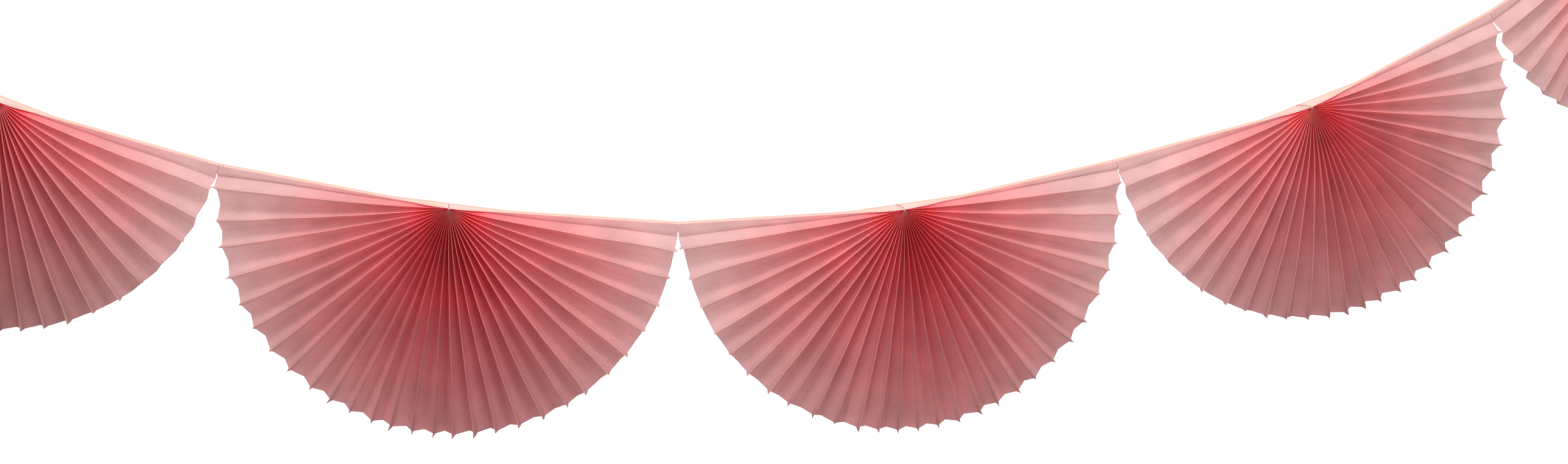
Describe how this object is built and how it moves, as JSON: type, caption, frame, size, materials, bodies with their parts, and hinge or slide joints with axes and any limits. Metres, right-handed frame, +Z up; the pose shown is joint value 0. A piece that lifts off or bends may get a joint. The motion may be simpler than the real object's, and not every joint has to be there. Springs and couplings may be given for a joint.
{
  "type": "paper fan garland",
  "caption": "Half-round pleated tissue paper fans glued in a row to a flexible paper tape, hung as a draped swag garland.",
  "frame": {"origin": "apex of the middle fan, on the back face of its tape, as the garland hangs", "axes": "+X along the garland to the right as seen from the front, +Y out of the back of the middle fan's tape, +Z up"},
  "size_m": [2.9631, 0.2472, 0.9092],
  "materials": {
    "tissue": "matte dyed tissue paper, slightly mottled and translucent",
    "tape": "matte cream paper tape",
    "thread": "fine matte sewing thread"
  },
  "bodies": {
    "tape_run_1": {"header_tape_1": "tape"},
    "hung_fan_1": {"fan_1": "tissue", "tie_thread_1": "thread"},
    "bare_tape_12": {"tape_bend_12": "tape"},
    "tape_run_2": {"header_tape_2": "tape"},
    "hung_fan_2": {"fan_2": "tissue", "tie_thread_2": "thread"},
    "bare_tape_23": {"tape_bend_23": "tape"},
    "tape_run_3": {"header_tape_3": "tape"},
    "hung_fan_3": {"fan_3": "tissue", "tie_thread_3": "thread"},
    "bare_tape_34": {"tape_bend_34": "tape"},
    "tape_run_4": {"header_tape_4": "tape"},
    "hung_fan_4": {"fan_4": "tissue", "tie_thread_4": "thread"},
    "bare_tape_45": {"tape_bend_45": "tape"},
    "tape_run_5": {"header_tape_5": "tape"},
    "hung_fan_5": {"fan_5": "tissue", "tie_thread_5": "thread"}
  },
  "joints": [
    {"name": "swag_23", "type": "hinge", "parent": "tape_run_3", "child": "bare_tape_23", "pos_m": [-0.30298, -0.0002, -0.00724], "axis": [0, 1, 0], "range_deg": [0, 20]},
    {"name": "fold_23", "type": "hinge", "parent": "bare_tape_23", "child": "tape_run_2", "pos_m": [-0.30688, 0, -0.00999], "axis": [0, 0, 1], "range_deg": [-80, 10]},
    {"name": "swag_12", "type": "hinge", "parent": "tape_run_2", "child": "bare_tape_12", "pos_m": [-0.89902, 0.10099, 0.06608], "axis": [0.1685, 0.9857, 0], "range_deg": [0, 20]},
    {"name": "fold_12", "type": "hinge", "parent": "bare_tape_12", "child": "tape_run_1", "pos_m": [-0.90273, 0.10182, 0.06414], "axis": [0, 0, 1], "range_deg": [-80, 10]},
    {"name": "swag_34", "type": "hinge", "parent": "tape_run_3", "child": "bare_tape_34", "pos_m": [0.29717, -0.0002, 0.06278], "axis": [0, -1, 0], "range_deg": [0, 20]},
    {"name": "fold_34", "type": "hinge", "parent": "bare_tape_34", "child": "tape_run_4", "pos_m": [0.30098, 0, 0.06078], "axis": [0, 0, 1], "range_deg": [-10, 80]},
    {"name": "swag_45", "type": "hinge", "parent": "tape_run_4", "child": "bare_tape_45", "pos_m": [0.86911, 0.01467, 0.26455], "axis": [0.0262, -0.9997, 0], "range_deg": [0, 20]},
    {"name": "fold_45", "type": "hinge", "parent": "bare_tape_45", "child": "tape_run_5", "pos_m": [0.87257, 0.01496, 0.26323], "axis": [0, 0, 1], "range_deg": [-10, 80]},
    {"name": "fan_1_flap", "type": "hinge", "parent": "tape_run_1", "child": "hung_fan_1", "pos_m": [-1.17998, 0.155, 0.17104], "axis": [-0.918, 0.1784, 0.3543], "range_deg": [0, 30]},
    {"name": "fan_2_flap", "type": "hinge", "parent": "tape_run_2", "child": "hung_fan_2", "pos_m": [-0.60306, 0.04989, 0.0266], "axis": [-0.9785, 0.1673, 0.121], "range_deg": [0, 30]},
    {"name": "fan_3_flap", "type": "hinge", "parent": "tape_run_3", "child": "hung_fan_3", "pos_m": [-0.00291, -0.0007, 0.02492], "axis": [-0.9933, 0, -0.1158], "range_deg": [0, 30]},
    {"name": "fan_4_flap", "type": "hinge", "parent": "tape_run_4", "child": "hung_fan_4", "pos_m": [0.58506, 0.00673, 0.16108], "axis": [-0.9426, -0.0247, -0.333], "range_deg": [0, 30]},
    {"name": "fan_5_flap", "type": "hinge", "parent": "tape_run_5", "child": "hung_fan_5", "pos_m": [1.12988, 0.06657, 0.41405], "axis": [-0.8495, -0.1728, -0.4985], "range_deg": [0, 30]}
  ]
}
